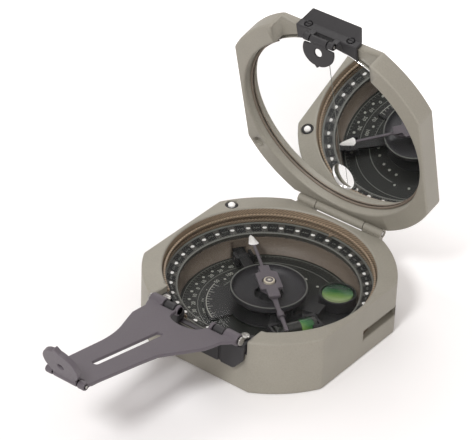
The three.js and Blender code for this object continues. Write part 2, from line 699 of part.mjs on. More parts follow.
function lidHingePin() {
  return bar(0.7, -16.5, 16.5, [LID_AXIS.y, LID_AXIS.z], "x", 16);
}

function mirrorPlate() {
  const body = bar(LID_OPENING - 0.5, MIRROR_DEPTH, MIRROR_DEPTH + MIRROR_THICKNESS, [0, 0], "z", 96);
  return body.subtract(plate(oval(WINDOW), 0, 9, 16));
}

function mirrorRetainer() {
  const z = [MIRROR_DEPTH - GAP - 0.5, MIRROR_DEPTH - GAP];
  const ring = tube(LID_OPENING - 0.9, LID_OPENING - GAP, z[0], z[1], 96);
  return ring.subtract(box([-20, 20], [-41, -27], [0, 5]));
}

function windowLens() {
  return plate(oval(WINDOW_PORT, 0.3), 5.4, 6.3, 16);
}

function sightBlock() {
  const side = outline([
    [-31.5, 3.2], [-31.5, 4.1], [-35.8, 4.1], [-35.8, 7.6], [-36.4, 8.2], [-38.6, 10.4], [-39.6, 9.6], [-37, 6.4],
    [-37, 3.2],
  ]);
  let body = plate(side, -11.4, 11.4).rotate([90, 0, 90]);
  for (const hand of [-1, 1]) {
    const chamfer = outline([[11.4, 0], [11.4, 6.2], [8.4, 11], [14, 11], [14, 0]]);
    const cut = turnedBy(plate(chamfer, 20, 50), 90, 0, 0);
    body = body.subtract(hand > 0 ? cut : cut.mirror([1, 0, 0]));
    const lug = hand > 0 ? [3.4, 5.6] : [-5.6, -3.4];
    body = body.add(box(lug, [LEAF_AXIS.y, LEAF_AXIS.y + 1.4], [LEAF_AXIS.w, 3.5]));
    body = body.add(bar(1.2, lug[0], lug[1], [LEAF_AXIS.y, LEAF_AXIS.w], "x", 20));
    body = body.subtract(bar(0.8, -38, -35, [hand * 8, BLOCK_SCREW_W], "y", 16));
    body = body.subtract(bar(1.3, -40, -36.2, [hand * 8, BLOCK_SCREW_W], "y", 24));
  }
  body = body.subtract(bar(LID_OPENING - 0.2, 0, 4.7, [0, 0], "z", 96));
  return body.subtract(bar(0.8, -7, 7, [LEAF_AXIS.y, LEAF_AXIS.w], "x", 16));
}

// A slotted screw with its head sunk flush into the block.
function blockScrew(side) {
  const profile = turned([[0, 33], [0.5, 33], [0.5, 36.5], [1, 36.5], [1, 37], [0, 37]], 20);
  const slotted = profile.subtract(box([-2, 2], [-0.2, 0.2], [36.8, 38]));
  return moved(turnedBy(slotted, 90, 0, 0), side * 8, 0, BLOCK_SCREW_W);
}

// The leaf hangs from its own pivot along +Y: a round leaf with a hole and a pointed end.
function sightLeaf() {
  const shape = new THREE.Shape();
  shape.moveTo(-2.9, 0);
  shape.lineTo(-2.9, 1.7);
  shape.lineTo(-5.6, 1.9);
  shape.quadraticCurveTo(-6.4, 4.6, -4.6, 6.6);
  shape.quadraticCurveTo(-2.6, LEAF_LENGTH, -0.9, LEAF_LENGTH);
  shape.lineTo(0, LEAF_LENGTH + 0.8);
  shape.lineTo(0.9, LEAF_LENGTH);
  shape.quadraticCurveTo(2.6, LEAF_LENGTH, 4.6, 6.6);
  shape.quadraticCurveTo(6.4, 4.6, 5.6, 1.9);
  shape.lineTo(2.9, 1.7);
  shape.lineTo(2.9, 0);
  shape.closePath();
  let body = plate(shape, -0.4, 0.4, 8);
  body = body.add(bar(1.2, -3.1, 3.1, [0, 0], "x", 20));
  body = body.subtract(bar(1.4, -2, 2, [0, 4], "z", 24));
  return body.subtract(bar(0.8, -5, 5, [0, 0], "x", 16));
}

function sightLeafPin() {
  return bar(0.5, -5.8, 5.8, [0, 0], "x", 12);
}

// ---- assembly -----------------------------------------------------------------------------------

const base = group(
  mesh("base_case", baseCase(), casePaint),
  mesh("lid_hinge_pin", lidHingePin(), steel),
  mesh("dial_plate", dialPlate(), dialPaint),
  mesh("zero_index_ring", zeroIndexRing(), brownPaint),
  mesh("cover_glass", coverGlass(), glass),
  mesh("glass_retaining_ring", glassRetainer(), brownPaint),
  mesh("azimuth_ring", azimuthRing(), dialPaint),
  mesh("adjuster_pinion", alongPinion(adjusterPinion()), steel),
  mesh("adjuster_bush", alongPinion(adjusterBush()), brass),
  mesh("lift_pin_bush", liftPinBush(), blackPaint),
  mesh("lift_pin_spring", liftPinSpring(), steel),
  mesh("lift_pin", liftPin(), whitePaint),
  mesh("lift_lever", liftLever(), blackPaint),
  mesh("lift_lever_bracket", liftLeverBracket(), blackPaint),
  mesh("lift_lever_pin", liftLeverPin(), steel),
);

const clinometer = group(
  mesh("clinometer_shaft", clinometerShaft(), steel),
  mesh("vernier_carrier", vernierCarrier(), blackPaint),
  mesh("damping_cup", dampingCup(), blackPaint),
  mesh("bullseye_housing", bullseyeHousing(), blackPaint),
  mesh("bullseye_liquid", bullseyeLiquid(), green),
  mesh("bullseye_lens", bullseyeLens(), glass),
  mesh("tube_vial", tubeVial(), green),
  mesh("vial_holder_north", vialHolder(1), blackPaint),
  mesh("vial_holder_south", vialHolder(-1), blackPaint),
  mesh("clinometer_lever", clinometerLever(), blackPaint),
  mesh("clinometer_lever_screw", leverScrew(), steel),
  mesh("pivot_post", pivotPost(), steel),
);

const needleSet = group(
  mesh("lift_sleeve", liftSleeve(), blackPaint),
  mesh("jewel_cap", jewelCap(), whitePaint),
  mesh("needle", needle(), armPaint),
  mesh("needle_magnet", needleMagnet(), armPaint),
  mesh("needle_counterweight", counterweight(), brass),
);

const tip = group(mesh("sight_tip", sightTip(), armPaint), mesh("sight_tip_pin", sightTipPin(), steel));
tip.position.set(0, -TIP_AXIS, 0);
tip.rotation.x = radians(TIP_LEAN);
const arm = group(mesh("sight_arm", sightArm(), armPaint), tip);
arm.position.set(0, SIGHT_AXIS.y, SIGHT_AXIS.z);
arm.rotation.x = radians(-ARM_RAISED);

const sight = group(
  mesh("sight_bracket", sightBracket(), blackPaint),
  mesh("bracket_screw_west", bracketScrew(-1), steel),
  mesh("bracket_screw_east", bracketScrew(1), steel),
  mesh("sight_hinge_pin_west", sightHingePin(-1), steel),
  mesh("sight_hinge_pin_east", sightHingePin(1), steel),
  arm,
);

const leaf = group(
  mesh("small_sight_leaf", sightLeaf(), blackPaint),
  mesh("small_sight_pin", sightLeafPin(), steel),
);
leaf.position.set(0, LEAF_AXIS.y, LEAF_AXIS.w);
leaf.rotation.x = radians(-LEAF_TILT);

const closedLid = group(
  mesh("lid_shell", lidShell(), casePaint),
  mesh("mirror", mirrorPlate(), mirrorSilver),
  mesh("mirror_retainer", mirrorRetainer(), blackPaint),
  mesh("window_lens", windowLens(), glass),
  mesh("small_sight_block", sightBlock(), blackPaint),
  mesh("block_screw_west", blockScrew(-1), steel),
  mesh("block_screw_east", blockScrew(1), steel),
  leaf,
);
closedLid.position.set(0, -LID_AXIS.y, BASE_HEIGHT - LID_AXIS.z);
const lid = group(closedLid);
lid.position.set(0, LID_AXIS.y, LID_AXIS.z);
lid.rotation.x = radians(-LID_OPEN);

const compass = group(base, clinometer, needleSet, sight, lid);
export default compass;
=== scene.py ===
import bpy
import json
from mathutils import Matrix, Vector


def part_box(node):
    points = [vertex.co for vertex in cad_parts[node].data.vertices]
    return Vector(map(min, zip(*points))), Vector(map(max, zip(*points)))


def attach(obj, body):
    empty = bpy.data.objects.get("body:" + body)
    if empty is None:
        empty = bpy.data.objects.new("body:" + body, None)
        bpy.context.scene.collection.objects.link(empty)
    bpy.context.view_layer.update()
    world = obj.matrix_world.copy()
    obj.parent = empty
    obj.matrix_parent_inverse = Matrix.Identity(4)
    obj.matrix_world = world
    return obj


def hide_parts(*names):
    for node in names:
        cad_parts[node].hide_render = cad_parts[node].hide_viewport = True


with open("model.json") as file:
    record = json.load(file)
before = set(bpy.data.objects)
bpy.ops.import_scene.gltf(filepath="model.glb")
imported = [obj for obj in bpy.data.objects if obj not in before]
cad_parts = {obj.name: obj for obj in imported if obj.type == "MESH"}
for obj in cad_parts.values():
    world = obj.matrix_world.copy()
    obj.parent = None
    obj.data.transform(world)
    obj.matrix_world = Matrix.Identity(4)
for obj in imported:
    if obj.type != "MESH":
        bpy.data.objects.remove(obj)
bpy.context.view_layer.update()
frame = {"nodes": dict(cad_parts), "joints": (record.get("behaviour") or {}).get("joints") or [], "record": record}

import json
import math

import bmesh
import bpy
from mathutils import Matrix, Vector

# A sighting compass in metres, in the CAD frame: +Z up, +Y towards the lid hinge, -Y along the sight arm.

MM = 0.001
UP = Vector((0, 0, 1))
BODIES = frame["record"]["behaviour"]["bodies"]
BODY_OF = {node: body for body, nodes in BODIES.items() for node in nodes}
SLOT_OF = {entry["node"]: entry["material_slot"] for entry in frame["record"]["subparts"]}
JOINT = {joint["name"]: joint for joint in frame["joints"]}

HALF_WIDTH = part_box("base_case")[1].x  # of the case, across its flats
CORNER_RADIUS = 40.4 * MM  # the rounded diagonals
RIM_Z = 19.3 * MM  # the top of the base, where the lid closes
RIM_RADIUS = 33.9 * MM  # the round opening in the base
LID_OPENING = 33.7 * MM  # the round opening in the lid
NOTCH_HALF_WIDTH = 18.4 * MM  # the gap in both rims where the sights fold in
NEEDLE_HEADING = 50  # degrees west of north
LID_AXIS = Vector(JOINT["lid_hinge"]["pos_m"])
LID_OPEN = math.radians(-JOINT["lid_hinge"]["range_deg"][0])

CASE_COLOUR = (145, 141, 130)
UPPER_BROWN = (158, 140, 118)  # inside the bowl, above the bearing circle
LOWER_BROWN_PAINTED_SHADE = (116, 105, 93)  # inside the bowl, below the bearing circle: the bowl brown darkened, painted shade under the ring
HATCH_BROWN = (106, 93, 80)  # the diagonal lines on the bowl's wall
BRACKET_SHADE_COLOUR = (58, 54, 58)  # painted shade on the case's notch floor, under the sight bracket


# ---- placing ------------------------------------------------------------------------------------

def closed_lid():
    """From a place on the closed lid (x, y, height above the rim) to the same place at rest."""
    axis = Matrix.Translation(LID_AXIS)
    return axis @ Matrix.Rotation(-LID_OPEN, 4, "X") @ axis.inverted() @ Matrix.Translation((0, 0, RIM_Z))


def direction(degrees):
    """The x and y of the unit vector at an angle from +X, seen from above."""
    return math.cos(math.radians(degrees)), math.sin(math.radians(degrees))


def polar(reach, degrees, z=0.0):
    angle = math.radians(degrees)
    return Vector((reach * math.cos(angle), reach * math.sin(angle), z))


# ---- materials ----------------------------------------------------------------------------------

def linear(red, green, blue):
    """An sRGB colour, 0 to 255, as Blender's linear colour."""
    def channel(value):
        value /= 255
        return value / 12.92 if value <= 0.04045 else ((value + 0.055) / 1.055) ** 2.4
    return (channel(red), channel(green), channel(blue), 1.0)


class Nodes:
    """A material's node tree, with short calls to add and join its nodes."""

    def __init__(self, name):
        self.material = bpy.data.materials.new(name)
        self.material.use_nodes = True
        self.tree = self.material.node_tree
        self.shader = self.tree.nodes["Principled BSDF"]
        self.place = self.add("ShaderNodeTexCoord").outputs["Object"]

    def add(self, kind, **settings):
        node = self.tree.nodes.new(kind)
        for key, value in settings.items():
            setattr(node, key, value)
        return node

    def join(self, source, target):
        self.tree.links.new(source, target)

    def math(self, operation, first, second=None):
        node = self.add("ShaderNodeMath", operation=operation)
        for socket, value in zip(node.inputs, (first, second)):
            if isinstance(value, (int, float)):
                socket.default_value = value
            elif value is not None:
                self.join(value, socket)
        return node.outputs[0]

    def noise(self, size, detail=4.0, stretch=(1, 1, 1)):
        """Noise whose lumps are about size metres across."""
        mapping = self.add("ShaderNodeMapping")
        mapping.inputs["Scale"].default_value = stretch
        self.join(self.place, mapping.inputs["Vector"])
        node = self.add("ShaderNodeTexNoise")
        node.inputs["Scale"].default_value = 1 / size
        node.inputs["Detail"].default_value = detail
        self.join(mapping.outputs[0], node.inputs["Vector"])
        return node.outputs["Fac"]

    def ramp(self, value, *stops):
        """Colour stops of (position, colour)."""
        node = self.add("ShaderNodeValToRGB")
        elements = node.color_ramp.elements
        while len(elements) < len(stops):
            elements.new(0.5)
        for element, (position, colour) in zip(elements, stops):
            element.position = position
            element.color = colour
        self.join(value, node.inputs["Fac"])
        return node.outputs["Color"]

    def span(self, value, low, high, source=(0.3, 0.7)):
        """From low to high as the value goes through the source range."""
        node = self.add("ShaderNodeMapRange")
        node.inputs["From Min"].default_value = source[0]
        node.inputs["From Max"].default_value = source[1]
        node.inputs["To Min"].default_value = low
        node.inputs["To Max"].default_value = high
        self.join(value, node.inputs["Value"])
        return node.outputs["Result"]

    def mix(self, factor, first, second):
        """From the first colour at factor 0 to the second at 1."""
        node = self.add("ShaderNodeMix", data_type="RGBA")
        self.join(factor, node.inputs["Factor"])
        for socket, value in ((node.inputs[6], first), (node.inputs[7], second)):
            if isinstance(value, tuple):
                socket.default_value = value
            else:
                self.join(value, socket)
        return node.outputs[2]

    def product(self, *factors):
        result = factors[0]
        for factor in factors[1:]:
            result = self.math("MULTIPLY", result, factor)
        return result

    def bump(self, height, depth):
        """Relief depth metres deep, at half strength."""
        node = self.add("ShaderNodeBump")
        node.inputs["Distance"].default_value = depth
        node.inputs["Strength"].default_value = 0.5
        self.join(height, node.inputs["Height"])
        self.join(node.outputs["Normal"], self.shader.inputs["Normal"])

    def axes(self):
        """The place's x, y and z."""
        split = self.add("ShaderNodeSeparateXYZ")
        self.join(self.place, split.inputs[0])
        return split.outputs[0], split.outputs[1], split.outputs[2]

    def reach(self, x, y):
        """The distance from the needle's axis."""
        squares = self.math("ADD", self.math("POWER", x, 2), self.math("POWER", y, 2))
        return self.math("SQRT", squares)


def speckled(nodes, colour, shift=0.12, size=0.5 * MM):
    """A paint colour with a fine speckle and slow patches, lighter or darker by up to the share shift."""
    dark = tuple(part * (1 - shift) for part in colour[:3]) + (1,)
    light = tuple(min(1, part * (1 + shift)) for part in colour[:3]) + (1,)
    fine = nodes.noise(size, 3)
    slow = nodes.noise(size * 24, 2)
    both = nodes.math("ADD", nodes.math("MULTIPLY", fine, 0.6), nodes.math("MULTIPLY", slow, 0.4))
    return nodes.ramp(both, (0.35, dark), (0.65, light)), fine


def painted(name, colour, roughness, depth=0.02 * MM, shift=0.12):
    nodes = Nodes(name)
    tint, fine = speckled(nodes, linear(*colour), shift)
    nodes.join(tint, nodes.shader.inputs["Base Color"])
    nodes.join(nodes.span(fine, roughness - 0.06, roughness + 0.08), nodes.shader.inputs["Roughness"])
    nodes.bump(fine, depth)
    return nodes.material


def case_material():
    """Tan-grey outside, brown with a diagonal hatch in the bowl, with painted shade: darker brown below the
    bearing circle and a dark patch under the sight bracket.
    """
    nodes = Nodes("case_paint")
    x, y, z = nodes.axes()
    paint, fine = speckled(nodes, linear(*CASE_COLOUR), 0.07)

    upper, _ = speckled(nodes, linear(*UPPER_BROWN), 0.16, 0.8 * MM)
    shaded_lower, _ = speckled(nodes, linear(*LOWER_BROWN_PAINTED_SHADE), 0.16, 0.8 * MM)
    # below 11 to 13 mm the wall fades to the darker brown: painted shade under the bearing circle
    brown = nodes.mix(nodes.span(z, 0.0, 1.0, (11 * MM, 13 * MM)), shaded_lower, upper)
    around = nodes.math("MULTIPLY", nodes.math("ARCTAN2", y, x), RIM_RADIUS)
    slant = nodes.math("ADD", around, nodes.math("MULTIPLY", z, 1.4))
    hatch = nodes.math("SINE", nodes.math("MULTIPLY", slant, 2 * math.pi / (1.15 * MM)))
    stripes = nodes.span(hatch, 0.0, 1.0, (-1, 1))
    above_ring = nodes.span(z, 0.15, 0.8, (13.5 * MM, 14.5 * MM))
    hatched = nodes.mix(nodes.product(stripes, above_ring), brown, linear(*HATCH_BROWN))

    inside = nodes.math("LESS_THAN", nodes.reach(x, y), RIM_RADIUS + 0.1 * MM)
    below_rim = nodes.math("LESS_THAN", z, RIM_Z - 0.5 * MM)
    above_floor = nodes.math("GREATER_THAN", z, 3 * MM)
    bowl = nodes.product(inside, below_rim, above_floor)

    # painted shade: the notch floor under the sight bracket, coloured like the sight paint in shade
    within_notch = nodes.math("LESS_THAN", nodes.math("ABSOLUTE", x), NOTCH_HALF_WIDTH + 0.1 * MM)
    south = nodes.math("LESS_THAN", y, -33.5 * MM)
    bracket_shade = nodes.product(within_notch, south, nodes.math("GREATER_THAN", z, 14.2 * MM))

    tint = nodes.mix(bracket_shade, nodes.mix(bowl, paint, hatched), linear(*BRACKET_SHADE_COLOUR))
    nodes.join(tint, nodes.shader.inputs["Base Color"])
    nodes.join(nodes.span(fine, 0.44, 0.58), nodes.shader.inputs["Roughness"])
    nodes.bump(nodes.math("ADD", fine, nodes.product(stripes, bowl, 2.0)), 0.02 * MM)
    return nodes.material


def brushed(name, colour, roughness):
    """Bare metal with fine streaks square to its upright axis."""
    nodes = Nodes(name)
    streaks = nodes.noise(2.4 * MM, 6, (1, 1, 14))
    tint = linear(*colour)
    dark = tuple(part * 0.72 for part in tint[:3]) + (1,)
    nodes.join(nodes.ramp(streaks, (0.3, dark), (0.7, tint)), nodes.shader.inputs["Base Color"])
    nodes.join(nodes.span(streaks, roughness - 0.08, roughness + 0.12), nodes.shader.inputs["Roughness"])
    nodes.shader.inputs["Metallic"].default_value = 1.0
    nodes.bump(streaks, 0.01 * MM)
    return nodes.material


def mirror_material():
    nodes = Nodes("mirror_silver")
    haze = nodes.noise(9 * MM, 3)
    nodes.join(nodes.span(haze, 0.0, 0.03), nodes.shader.inputs["Roughness"])
    tint = nodes.ramp(haze, (0.3, linear(251, 252, 252)), (0.7, linear(253, 254, 254)))
    nodes.join(tint, nodes.shader.inputs["Base Color"])
    nodes.shader.inputs["Metallic"].default_value = 1.0
    return nodes.material


def clear_material(name, colour, alpha):
    """Thin clear glass: the shader's alpha lets the light through and keeps part of the gloss."""
    nodes = Nodes(name)
    haze = nodes.noise(12 * MM, 2)
    nodes.join(nodes.span(haze, 0.01, 0.05), nodes.shader.inputs["Roughness"])
    tint = linear(*colour)
    edge = tuple(part * 0.94 for part in tint[:3]) + (1,)
    nodes.join(nodes.ramp(haze, (0.3, edge), (0.7, tint)), nodes.shader.inputs["Base Color"])
    nodes.shader.inputs["Alpha"].default_value = alpha
    nodes.shader.inputs["IOR"].default_value = 1.5
    return nodes.material


def level_material_painted_shading(name, centre, reach, window=None):
    """Green level liquid, pale to the south and dark to the north: a painted highlight and painted shade that
    stand in for light and the dark wall seen through the liquid. A window, given as (heading in degrees, start,
    end) along the vial from its centre, leaves the rest of the vial in its dark sleeve."""
    nodes = Nodes(name)
    x, y, _ = nodes.axes()
    across = nodes.math("SUBTRACT", nodes.math("SUBTRACT", y, centre.y),
                        nodes.math("MULTIPLY", nodes.math("SUBTRACT", x, centre.x), 0.55))
    wavy = nodes.math("ADD", across, nodes.math("MULTIPLY", nodes.noise(2.2 * MM, 3), 1.8 * MM))
    position = nodes.span(wavy, 0.0, 1.0, (-reach, reach + 0.9 * MM))
    # the pale whitish-green stop is a painted highlight, the dark green stops are painted shade
    tint = nodes.ramp(position, (0.1, linear(196, 214, 160)), (0.42, linear(136, 178, 92)),
                      (0.62, linear(58, 124, 66)), (0.85, linear(14, 62, 38)))
    if window:
        heading, start, end = window
        east, north = direction(heading)
        offset = centre.x * east + centre.y * north
        along = nodes.math("ADD", nodes.math("MULTIPLY", x, east), nodes.math("MULTIPLY", y, north))
        inside = nodes.math("MULTIPLY", nodes.math("GREATER_THAN", along, offset + start),
                            nodes.math("LESS_THAN", along, offset + end))
        sleeve, _ = speckled(nodes, linear(44, 46, 43), 0.15)
        tint = nodes.mix(inside, sleeve, tint)
    nodes.join(tint, nodes.shader.inputs["Base Color"])
    nodes.join(nodes.span(position, 0.08, 0.16, (0, 1)), nodes.shader.inputs["Roughness"])
    nodes.shader.inputs["Coat Weight"].default_value = 0.6
    nodes.shader.inputs["Coat Roughness"].default_value = 0.03
    return nodes.material


PAINT = {
    "case_paint": case_material(),
    "lid_paint": painted("lid_paint", CASE_COLOUR, 0.5, shift=0.07),
    "sight_paint": painted("sight_paint", (90, 84, 90), 0.46, 0.01 * MM, shift=0.06),
    "needle_paint": painted("needle_paint", (104, 98, 104), 0.44, 0.008 * MM, shift=0.08),
    "black_paint": painted("black_paint", (42, 41, 43), 0.48, 0.015 * MM, shift=0.14),
    "deep_black": painted("deep_black", (36, 36, 37), 0.5, 0.001 * MM, shift=0.16),
    "cup_paint": painted("cup_paint", (56, 55, 58), 0.5, 0.0005 * MM, shift=0.1),
    "dial_paint": painted("dial_paint", (34, 36, 33), 0.52, 0.0002 * MM, shift=0.2),
    "ring_paint": painted("ring_paint", (72, 71, 66), 0.5, 0.006 * MM, shift=0.16),
    "ink_black": painted("ink_black", (16, 18, 17), 0.6, 0.0005 * MM, shift=0.25),
    "inner_paint": painted("inner_paint", (120, 108, 96), 0.55, shift=0.15),
    "steel": brushed("steel", (176, 174, 170), 0.32),
    "brass": brushed("brass", (178, 156, 104), 0.34),
    "white_paint": painted("white_paint", (250, 249, 246), 0.36, 0.006 * MM, shift=0.04),
    "ivory": painted("ivory", (214, 205, 186), 0.34, 0.006 * MM, shift=0.08),
    "mark_paint": painted("mark_paint", (176, 178, 168), 0.5, 0.006 * MM, shift=0.1),
    "grey_mark": painted("grey_mark", (116, 118, 112), 0.55, 0.006 * MM, shift=0.16),
    "mirror_silver": mirror_material(),
    "clear_glass": clear_material("clear_glass", (24, 28, 27), 0.07),
    "lens_glass": clear_material("lens_glass", (60, 80, 60), 0.08),
}


# ---- pieces -------------------------------------------------------------------------------------

def new_piece(name, mesh, paint, body, smooth=35):
    """A piece that rides on body, shaded smooth where it turns by less than smooth degrees."""
    mesh.materials.append(paint)
    piece = bpy.data.objects.new(name, mesh)
    bpy.context.scene.collection.objects.link(piece)
    mesh.shade_smooth()
    mesh.set_sharp_from_angle(angle=math.radians(smooth))
    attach(piece, body)
    return piece


def from_bmesh(name, shape, paint, body, smooth=35):
    mesh = bpy.data.meshes.new(name)
    bmesh.ops.recalc_face_normals(shape, faces=shape.faces[:])
    shape.to_mesh(mesh)
    shape.free()
    new_piece(name, mesh, paint, body, smooth)


SHARP_ANGLE = math.radians(24)
SHORTEST_EDGE = 0.05 * MM


def sharp_edges(shape, where):
    """The edges that turn outward by more than SHARP_ANGLE and that the test where(middle) accepts."""
    picked = []
    for edge in shape.edges:
        if len(edge.link_faces) != 2 or edge.calc_length() < SHORTEST_EDGE:
            continue
        if edge.calc_face_angle_signed(0) < SHARP_ANGLE:
            continue
        if where((edge.verts[0].co + edge.verts[1].co) / 2):
            picked.append(edge)
    return picked


def anywhere(middle):
    return True


def rounded(node, paint, width, segments, where=anywhere):
    """A CAD node's own shape, its flats made whole and its edges rounded by width millimetres."""
    shape = bmesh.new()
    shape.from_mesh(frame["nodes"][node].data)
    bmesh.ops.remove_doubles(shape, verts=shape.verts[:], dist=0.002 * MM)
    bmesh.ops.dissolve_limit(shape, angle_limit=math.radians(0.4), verts=shape.verts[:], edges=shape.edges[:])
    if width > 0:
        bmesh.ops.bevel(shape, geom=sharp_edges(shape, where), offset=width * MM, segments=segments,
                        profile=0.5, affect="EDGES", clamp_overlap=False, loop_slide=True)
    bmesh.ops.triangulate(shape, faces=[face for face in shape.faces if len(face.verts) > 4])
    mesh = bpy.data.meshes.new(node)
    shape.to_mesh(mesh)
    shape.free()
    piece = new_piece(f"{node}_finished", mesh, paint, BODY_OF[node])
    piece.modifiers.new("even_shading", "WEIGHTED_NORMAL").keep_sharp = True
    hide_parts(node)


# ---- case and lid -------------------------------------------------------------------------------

SHELL_EDGE = 0.7  # millimetres, as every edge width
HERE = 0.05 * MM  # how near an edge has to be to count as on a place


def outer_edge(middle):
    """On the eight-sided outline, or outside it on a hinge knuckle."""
    reach = math.hypot(middle.x, middle.y)
    flat = max(abs(middle.x), abs(middle.y)) > HALF_WIDTH - 0.02 * MM
    return flat or reach > CORNER_RADIUS - 0.2 * MM


def crowded(middle):
    """On the flat with the hinge knuckles or on the edge of the sights' notch, where nothing is rounded."""
    hinge = middle.y > HALF_WIDTH - HERE
    notch = middle.y < HERE - HALF_WIDTH and abs(middle.x) < NOTCH_HALF_WIDTH + 0.2 * MM
    return hinge or notch


def opening_edge(middle, z, radius):
    """On the round edge of the given radius at height z."""
    return abs(middle.z - z) < HERE and abs(math.hypot(middle.x, middle.y) - radius) < 2 * HERE


def base_edges(middle):
    outside = outer_edge(middle) and not (crowded(middle) and middle.z > 2 * MM)
    return outside or opening_edge(middle, RIM_Z, RIM_RADIUS)


def lid_edges(middle):
    closed = closed_lid().inverted() @ middle
    outside = outer_edge(closed) and not (crowded(closed) and closed.z < 5 * MM)
    return outside or opening_edge(closed, 0, LID_OPENING)


rounded("base_case", PAINT["case_paint"], SHELL_EDGE, 4, base_edges)
rounded("lid_shell", PAINT["lid_paint"], SHELL_EDGE, 4, lid_edges)


# ---- every other piece that keeps its CAD shape -------------------------------------------------

SPECIAL_PAINT = {
    "damping_cup": "cup_paint",
    "azimuth_ring": "ring_paint",
    "jewel_cap": "ivory",
    "window_lens": "lens_glass",
    "bullseye_lens": "lens_glass",
    "glass_retaining_ring": "case_paint",
    "zero_index_ring": "case_paint",
    "mirror_retainer": "inner_paint",
    "lift_lever": "deep_black",
    "lift_lever_bracket": "deep_black",
    "lift_sleeve": "deep_black",
    "vernier_carrier": "deep_black",
    "needle": "needle_paint",
    "needle_counterweight": "needle_paint",
    "needle_magnet": "needle_paint",
    "block_screw_west": "black_paint",
    "block_screw_east": "black_paint",
}
EDGE_WIDTH = {
    "sight_arm": 0.35,
    "sight_tip": 0.3,
    "sight_bracket": 0.5,
    "small_sight_leaf": 0.2,
    "small_sight_block": 0.3,
    "needle": 0.1,
    "needle_magnet": 0.16,
    "cover_glass": 0.15,
    "mirror": 0.2,
    "tube_vial": 0.3,
    "clinometer_lever": 0.2,
    "vernier_carrier": 0.12,
    "azimuth_ring": 0.0,
    "bullseye_lens": 0.0,
    "lift_pin_spring": 0.0,
}
DEFAULT_EDGE = 0.08
VIAL_HEADING = 63  # degrees from +X
VIAL_WINDOW = (1.4 * MM, 5.6 * MM)  # the clear part of the vial, from its middle


def level_paint(node):
    """The green, with painted highlight and shade, of the tube level, through its window, or of the round level.
    """
    low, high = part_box(node)
    centre = (low + high) / 2
    if node == "tube_vial":
        return level_material_painted_shading("tube_vial_green_painted_shading", centre, 5 * MM, (VIAL_HEADING, *VIAL_WINDOW))
    return level_material_painted_shading("bullseye_green_painted_shading", centre, (high.y - low.y) / 2)


def finish_other_nodes():
    for node in frame["nodes"]:
        if node in ("base_case", "lid_shell"):
            continue
        if node in ("tube_vial", "bullseye_liquid"):
            paint = level_paint(node)
        else:
            paint = PAINT[SPECIAL_PAINT.get(node) or SLOT_OF[node]]
        rounded(node, paint, EDGE_WIDTH.get(node, DEFAULT_EDGE), 2)


finish_other_nodes()


# ---- marks on the bearing circle and the dial ---------------------------------------------------

RING = {"inner": 29 * MM, "outer": 33.2 * MM, "inner_z": 12.4 * MM, "outer_z": 14 * MM}
DIAL_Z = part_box("dial_plate")[1].z
CARRIER_Z = 5.5 * MM
INK = 0.03 * MM


def ring_height(reach):
    """The bearing circle's sloping top."""
    share = (reach - RING["inner"]) / (RING["outer"] - RING["inner"])
    return RING["inner_z"] + share * (RING["outer_z"] - RING["inner_z"])


def dial_height(reach):
    return DIAL_Z


def carrier_height(reach):
    return CARRIER_Z


def add_patch(shape, corners):
    """A patch of paint, INK thick, over the outline corners."""
    low = [shape.verts.new(corner) for corner in corners]
    high = [shape.verts.new(corner + UP * INK) for corner in corners]
    shape.faces.new(high)
    shape.faces.new(low[::-1])
    for index in range(len(corners)):
        after = (index + 1) % len(corners)
        shape.faces.new((low[index], low[after], high[after], high[index]))


def add_arc(shape, inner, outer, start, end, height, step=4.0):
    """A band of arc between two radii, in steps of about step degrees. height(reach) gives its z."""
    count = max(1, round((end - start) / step))
    for index in range(count):
        first = start + (end - start) * index / count
        second = start + (end - start) * (index + 1) / count
        add_patch(shape, [polar(inner, first, height(inner)), polar(outer, first, height(outer)),
                          polar(outer, second, height(outer)), polar(inner, second, height(inner))])


def add_dot(shape, centre, radius, sides=14):
    """A low dome of paint."""
    turns = [360 * side / sides for side in range(sides)]
    ring = [shape.verts.new(centre + polar(radius, turn)) for turn in turns]
    crown = [shape.verts.new(centre + polar(radius * 0.7, turn) + UP * INK * 3) for turn in turns]
    shape.faces.new(crown)
    shape.faces.new(ring[::-1])
    for side in range(sides):
        after = (side + 1) % sides
        shape.faces.new((ring[side], ring[after], crown[after], crown[side]))


def add_text(shape, words, size, place):
    """Flat numbers in the built-in font, stood on place, a matrix."""
    curve = bpy.data.curves.new("numbers", "FONT")
    curve.body = words
    curve.size = size
    curve.align_x = "CENTER"
    curve.align_y = "CENTER"
    curve.resolution_u = 2
    curve.extrude = INK
    writer = bpy.data.objects.new("numbers", curve)
    bpy.context.scene.collection.objects.link(writer)
    bpy.context.view_layer.update()
    mesh = bpy.data.meshes.new_from_object(writer)
    mesh.transform(place)
    shape.from_mesh(mesh)
    bpy.data.objects.remove(writer)
    bpy.data.meshes.remove(mesh)
    bpy.data.curves.remove(curve)


def facing_out(reach, degrees, z):
    """A place on the dial whose letters stand with their tops away from the needle."""
    return Matrix.Translation(polar(reach, degrees, z)) @ Matrix.Rotation(math.radians(degrees - 90), 4, "Z")


